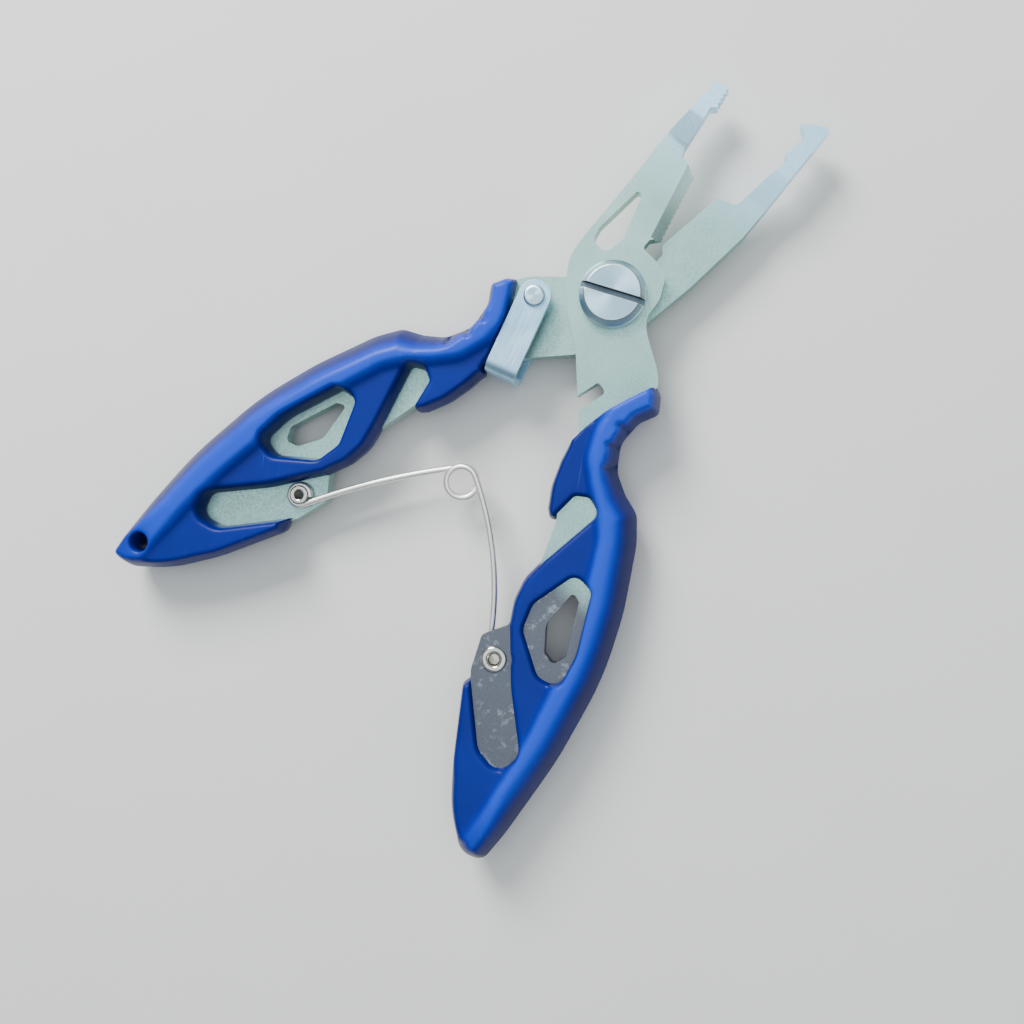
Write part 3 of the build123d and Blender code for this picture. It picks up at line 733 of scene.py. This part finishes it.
# %% [markdown]
# The plates are stamped from one strip, and their blades are then ground slantwise on a wheel, so the
# ground faces have a finish of their own, made pale with painted light. The latch is one folded strip of
# spring steel, brushed along its length, with a painted cool reflection. All three keep the shape of
# their CAD pieces.

# %% Plates and latch strap
def is_blade_bevel(face):
    """The blades are ground slantwise, so a face there is neither level nor upright."""
    return blade_back < face.center.x < blade_front and 0.15 < abs(face.normal.z) < 0.97


upper_plate = eased_copy("flat_jaw_plate", "upper_plate", plate_ease, (upper_skin, sheared_edge_and_highlight))
settle(upper_plate, "upper_half", "stamped_stainless", "flat_jaw_plate")
mark_faces(upper_plate, ground_blade_and_sheen, is_blade_bevel)
lower_plate = eased_copy("hook_jaw_plate", "lower_plate", plate_ease, (lower_skin, sheared_edge_and_highlight))
settle(lower_plate, "lower_half", "stamped_stainless", "hook_jaw_plate")
mark_faces(lower_plate, ground_blade_and_sheen, is_blade_bevel)
strap = eased_copy("latch_strap", "swing_latch", strap_ease, (brushed_strip_sky_sheen, sheared_edge_and_highlight))
settle(strap, "latch", "latch_steel", "latch_strap")

# %% [markdown]
# The pivot is a slotted screw in a sleeve nut. Its head is faced on a lathe and its slot is milled
# afterwards, so the slot's walls and floor show straight lines instead of rings, and are darker with painted
# shade.

# %% Screw and nut
screw = eased_copy("pivot_screw", "slotted_screw", turned_ease, (faced_screw, sheared_edge_and_highlight))
settle(screw, "upper_half", "turned_pivot_steel", "pivot_screw")
slot_way = Vector((cos(radians(-70)), sin(radians(-70))))
head_top = levels("pivot_screw")[1] * MM


def is_in_slot(face):
    """Below the rim of the screw's head, and close to the line that the slot follows."""
    deep = head_top - 1.2 * MM < face.center.z < head_top - 0.1 * MM
    return deep and abs(slot_way.cross(face.center.xy)) < slot_half_width


mark_faces(screw, slot_painted_shade, is_in_slot)
nut = eased_copy("pivot_nut", "sleeve_nut", turned_ease, (faced_screw, sheared_edge_and_highlight))
settle(nut, "upper_half", "turned_pivot_steel", "pivot_nut")

# %% [markdown]
# ## Rivet, spacer and eyelets
# These are all round, so each is a profile turned about its own upright axis. The rivet's head is
# flat with a rolled shoulder. An eyelet is a thin tube, flared over at one end against the plate and
# curled at the other to keep the spring's loop on it.

# %% Turned pieces
def turn_profile(name, profile, centre, finish, sides=64):
    """A closed profile of (radius, height) points in mm, turned about an upright axis."""
    shell = bmesh.new()
    rings = []
    for radius, height in profile:
        if radius < 1e-6:
            rings.append([shell.verts.new((centre[0] * MM, centre[1] * MM, height * MM))])
            continue
        ring = []
        for i in range(sides):
            x = (centre[0] + radius * cos(tau * i / sides)) * MM
            y = (centre[1] + radius * sin(tau * i / sides)) * MM
            ring.append(shell.verts.new((x, y, height * MM)))
        rings.append(ring)
    closed = profile[0][0] > 1e-6
    pairs = list(zip(rings, rings[1:])) + ([(rings[-1], rings[0])] if closed else [])
    for near, far in pairs:
        for i in range(sides):
            j = (i + 1) % sides
            corners = [near[i % len(near)], near[j % len(near)], far[j % len(far)], far[i % len(far)]]
            shell.faces.new(list(dict.fromkeys(corners)))
    bmesh.ops.recalc_face_normals(shell, faces=shell.faces[:])
    mesh = bpy.data.meshes.new(name)
    shell.to_mesh(mesh)
    shell.free()
    mesh.materials.append(finish)
    mesh.shade_smooth()
    mesh.set_sharp_from_angle(angle=radians(50))
    piece = bpy.data.objects.new(name, mesh)
    bpy.context.scene.collection.objects.link(piece)
    return piece


def middle_of(node):
    low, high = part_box(node)
    return (low[0] + high[0]) / 2 / MM, (low[1] + high[1]) / 2 / MM


low, high = levels("latch_rivet")
rivet_head, rivet_shank = 1.62, 1.08
rivet_profile = [
    (0, low + 0.02), (1.1, low + 0.06), (1.42, low + 0.16), (rivet_head, low + 0.38),
    (rivet_head, low + 0.56), (rivet_shank, low + 0.60), (rivet_shank, high - 0.60),
    (rivet_head, high - 0.56), (rivet_head, high - 0.3), (1.54, high - 0.12), (1.38, high - 0.03),
    (1.1, high - 0.005), (0, high),
]
rivet = turn_profile("latch_pin", rivet_profile, middle_of("latch_rivet"), faced_rivet)
settle(rivet, "lower_half", "latch_steel", "latch_rivet")
spacer = eased_copy("latch_spacer", "latch_washer", turned_ease, (faced_rivet, sheared_edge_and_highlight))
settle(spacer, "lower_half", "latch_steel", "latch_spacer")

# %% [markdown]
# An eyelet starts as a short tube with a flange. It is put through the plate's tail, and its free end is
# curled over in a press. The profile runs once round the metal, so turning it gives a closed tube with a
# real bore. The two eyelets face opposite ways, because the spring lies on different sides of the plates.

# %% Eyelets
eyelet_bore, eyelet_tube = 0.75, 1.05  # radii inside and outside the tube


def eyelet_profile(node):
    """From the flared flange, which lies on the plate, through the bore to the curled end."""
    low, high = levels(node)
    if node == "right_eyelet":
        flange, curl, way = high, low, -1
    else:
        flange, curl, way = low, high, 1
    # Each point is a radius and a rise from the flange, or below from the curled end.
    flare = [(eyelet_bore, 0.85), (0.84, 0.45), (1.02, 0.16), (1.24, 0.02), (1.5, 0.0), (1.76, 0.05)]
    flare += [(1.94, 0.16), (2.0, 0.28), (1.96, 0.35), (eyelet_tube, 0.35)]
    roll = [(eyelet_tube, -0.37), (1.3, -0.35), (1.46, -0.26), (1.5, -0.16), (1.42, -0.05), (1.22, 0.0)]
    roll += [(0.98, -0.01), (0.82, -0.05)]
    shape = [(eyelet_bore, curl - 0.10 * way)]
    shape += [(radius, flange + rise * way) for radius, rise in flare]
    shape += [(radius, curl + rise * way) for radius, rise in roll]
    return shape


for node, body in (("right_eyelet", "upper_half"), ("left_eyelet", "lower_half")):
    name = node.replace("eyelet", "spring_eyelet")
    ring = turn_profile(name, eyelet_profile(node), middle_of(node), nickel)
    settle(ring, body, "bright_plating", node)

# %% [markdown]
# ## The spring
# One length of bright 1 mm wire does the whole job: a loop round the left eyelet, a bowed leg, about one
# and a fifth turns of coil, the other leg and a loop round the right eyelet. The CAD model needs it
# in two halves so that the coil can turn as a hinge. Here it is one wire again: a centre line worked
# out from the eyelets and the coil, and a small Geometry Nodes tree that gives it its thickness. It
# climbs by a little more than a wire's thickness for each turn, so it never runs through itself.

# %% Arcs for the wire's centre line
wire = 1.0
coil_radius = 2.4
coil = np.array((-36.3, 1.0))
left_bow_radius, right_bow_radius = 110.0, 50.0
play = 0.06
loop_radius = eyelet_tube + play + wire / 2
lower_plate_top, upper_plate_foot = 4.98, 5.02
left_level, right_level = lower_plate_top + play + wire / 2, upper_plate_foot - play - wire / 2
loop_turn, least_coil = radians(300), radians(400)
loop_lift = 0.02  # an eyelet's loop lies this much further from its plate than the leg does
loop_step, leg_step, coil_step = 0.3, 0.9, 0.22  # between points of the centre line


def bow_centre(eye, radius, side):
    """Centre of a leg's arc: it rolls off the coil inside it and off the eyelet's loop outside it."""
    a, b = radius - coil_radius, radius + loop_radius
    gap = np.linalg.norm(eye - coil)
    forward = (a * a - b * b + gap * gap) / (2 * gap)
    ahead = (eye - coil) / gap
    sideways = side * np.sqrt(a * a - forward * forward)
    return coil + ahead * forward + sideways * np.array((-ahead[1], ahead[0]))


def heading(start, end):
    return atan2(end[1] - start[1], end[0] - start[0])


def bend(centre, radius, begin, finish, height_at, step):
    """Points round an arc; height_at gives the height at a share of the way along it."""
    count = max(2, int(abs(finish - begin) * radius / step))
    shares = [i / count for i in range(count)]
    angles = [begin + (finish - begin) * s for s in shares]
    return [
        (centre[0] + radius * cos(angle), centre[1] + radius * sin(angle), height_at(share))
        for angle, share in zip(angles, shares)
    ]


def eased(low, high):
    return lambda s: low + (high - low) * s * s * (3 - 2 * s)


print("loops of radius", loop_radius, "mm at heights", round(left_level, 2), "and", round(right_level, 2))

# %% [markdown]
# Each leg is an arc that meets the coil and its loop without a kink, which is how a bending machine
# leaves it. Every piece starts where the one before ends, so the wire is one line of points from end to
# end, and its heights ease from the plates' level to the coil's.

# %% The wire from one eyelet to the other
left_eye, right_eye = np.array(middle_of("left_eyelet")), np.array(middle_of("right_eyelet"))
left_bow, right_bow = bow_centre(left_eye, left_bow_radius, 1), bow_centre(right_eye, right_bow_radius, -1)
coil_low, coil_high = 4.45, 5.72
enter, leave = heading(left_bow, coil), heading(right_bow, coil)
while leave > enter - least_coil:
    leave -= tau
turns = degrees(enter - leave) / 360
line = []
start = heading(left_eye, left_bow)
line += bend(left_eye, loop_radius, start - loop_turn, start, lambda s: left_level + loop_lift, loop_step)
leg_start = heading(left_bow, left_eye)
line += bend(left_bow, left_bow_radius, leg_start, enter, eased(left_level, coil_low), leg_step)
line += bend(coil, coil_radius, enter, leave, lambda s: coil_low + (coil_high - coil_low) * s, coil_step)
leg_end = heading(right_bow, right_eye)
leg_start = leave + tau * round((leg_end - leave) / tau)
line += bend(right_bow, right_bow_radius, leg_start, leg_end, eased(coil_high, right_level), leg_step)
stop = heading(right_eye, right_bow)
line += bend(right_eye, loop_radius, stop, stop + loop_turn, lambda s: right_level - loop_lift, loop_step)
length = sum(hypot(*(np.array(b) - np.array(a))[:2]) for a, b in zip(line, line[1:]))
print("coil turns", round(turns, 2), "wire length mm", round(length, 1), "points", len(line))

# %% [markdown]
# A curve's own bevel could give the wire its thickness, but a small tree keeps the radius and the number
# of sides as named inputs that can be changed in one place. It ends by setting the finish. The
# evaluated result becomes a plain mesh, because a finished piece carries no modifier.

# %% A thickness for the wire, with Geometry Nodes
def wire_tree():
    tree = bpy.data.node_groups.new("spring_wire", "GeometryNodeTree")
    tree.interface.new_socket("Geometry", in_out="INPUT", socket_type="NodeSocketGeometry")
    sizes = (("Wire radius", "NodeSocketFloat", wire / 2 * MM), ("Sides", "NodeSocketInt", 20))
    for label, kind, value in sizes:
        tree.interface.new_socket(label, in_out="INPUT", socket_type=kind).default_value = value
    tree.interface.new_socket("Finish", in_out="INPUT", socket_type="NodeSocketMaterial")
    tree.interface.new_socket("Geometry", in_out="OUTPUT", socket_type="NodeSocketGeometry")
    given = add(tree, "NodeGroupInput").outputs
    path = add(tree, "GeometryNodeMeshToCurve", {"Mesh": given["Geometry"]})
    circle = add(tree, "GeometryNodeCurvePrimitiveCircle", {
        "Resolution": given["Sides"], "Radius": given["Wire radius"],
    }, mode="RADIUS")
    tube = add(tree, "GeometryNodeCurveToMesh", {
        "Curve": path.outputs[0], "Profile Curve": circle.outputs[0], "Fill Caps": True,
    })
    real = add(tree, "GeometryNodeRealizeInstances", {"Geometry": tube.outputs[0]})
    coated = add(tree, "GeometryNodeSetMaterial", {"Geometry": real.outputs[0], "Material": given["Finish"]})
    add(tree, "NodeGroupOutput", {"Geometry": coated.outputs[0]})
    return tree


def run_tree(name, tree, mesh, **values):
    """Runs a tree on a mesh and gives back a plain object with no modifier."""
    holder = bpy.data.objects.new(name + "_source", mesh)
    bpy.context.scene.collection.objects.link(holder)
    modifier = holder.modifiers.new(name, "NODES")
    modifier.node_group = tree
    for item in tree.interface.items_tree:
        if item.in_out == "INPUT" and item.name in values:
            modifier[item.identifier] = values[item.name]
    bpy.context.view_layer.update()
    done = bpy.data.meshes.new_from_object(holder.evaluated_get(bpy.context.evaluated_depsgraph_get()))
    done.name = name
    bpy.data.objects.remove(holder)
    piece = bpy.data.objects.new(name, done)
    bpy.context.scene.collection.objects.link(piece)
    return piece


spring_tree = wire_tree()
print(spring_tree.name, "takes", [i.name for i in spring_tree.interface.items_tree if i.in_out == "INPUT"])

# %% [markdown]
# The tube's ends and sides are merged into one closed skin, whose faces are then turned outwards. The two
# halves of the CAD spring, which turn against each other, are hidden, and this one wire stands in for both.

# %% Make the spring
path = bpy.data.meshes.new("wire_path")
path.from_pydata([tuple(np.array(p) * MM) for p in line], [(i, i + 1) for i in range(len(line) - 1)], [])
spring = run_tree("torsion_spring", spring_tree, path, Finish=drawn_wire)
cleanup = bmesh.new()
cleanup.from_mesh(spring.data)
bmesh.ops.remove_doubles(cleanup, verts=cleanup.verts, dist=0.001 * MM)
bmesh.ops.recalc_face_normals(cleanup, faces=cleanup.faces[:])
cleanup.to_mesh(spring.data)
cleanup.free()
spring.data.shade_smooth()
spring.data.set_sharp_from_angle(angle=radians(60))
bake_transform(spring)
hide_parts("spring_leg_right", "spring_leg_left")
print("spring faces", len(spring.data.polygons))

# %% [markdown]
# ## Bench and light
# A pale bench, a soft window light from the upper left of the view and a broad, weaker one overhead.
# Bare metal shows what it faces, so the room itself is bright and even.

# %% Bench, room and lights
def pale_bench():
    finish, tree, shader = new_finish("pale_bench", Roughness=0.85)
    place = add(tree, "ShaderNodeTexCoord").outputs["Object"]
    mottle = add(tree, "ShaderNodeTexNoise", {"Vector": place, "Scale": 1 / (30 * MM), "Detail": 3.0})
    tone = add(tree, "ShaderNodeMix", {
        "Factor": mottle.outputs["Fac"], 6: colour("F2F0EC"), 7: colour("ECEAE5"),
    }, data_type="RGBA")
    tree.links.new(tone.outputs[2], shader.inputs["Base Color"])
    return finish


bench_mesh = bpy.data.meshes.new("bench")
bench_mesh.from_pydata([(-1, -1, 0), (1, -1, 0), (1, 1, 0), (-1, 1, 0)], [], [(0, 1, 2, 3)])
bench_mesh.materials.append(pale_bench())
bench = bpy.data.objects.new("bench", bench_mesh)
bpy.context.scene.collection.objects.link(bench)


def soft_light(name, towards, distance, size, power, tint):
    """A square light that looks back at the middle of the tool."""
    lamp = bpy.data.lights.new(name, "AREA")
    lamp.shape = "SQUARE"
    lamp.size = size
    lamp.energy = power
    lamp.color = colour(tint)[:3]
    holder = bpy.data.objects.new(name, lamp)
    middle = Vector((-25, 0, 5)) * MM
    stand = Matrix.Translation(middle + towards.normalized() * distance)
    holder.matrix_world = stand @ towards.to_track_quat("Z", "Y").to_matrix().to_4x4()
    bpy.context.scene.collection.objects.link(holder)


above = Vector((0, 0, 1))
soft_light("window", 1.2 * view_up - 0.6 * view_right + 0.9 * above, 0.6, 0.26, 5.6, "FFFFFF")
soft_light("ceiling", 0.1 * view_up + 0.1 * view_right + 1.0 * above, 0.75, 1.1, 5.0, "EEF7FF")
world = bpy.data.worlds.new("room_light")
world.use_nodes = True
world.node_tree.nodes["Background"].inputs["Color"].default_value = colour("E4EFF3")
world.node_tree.nodes["Background"].inputs["Strength"].default_value = 0.32
bpy.context.scene.world = world
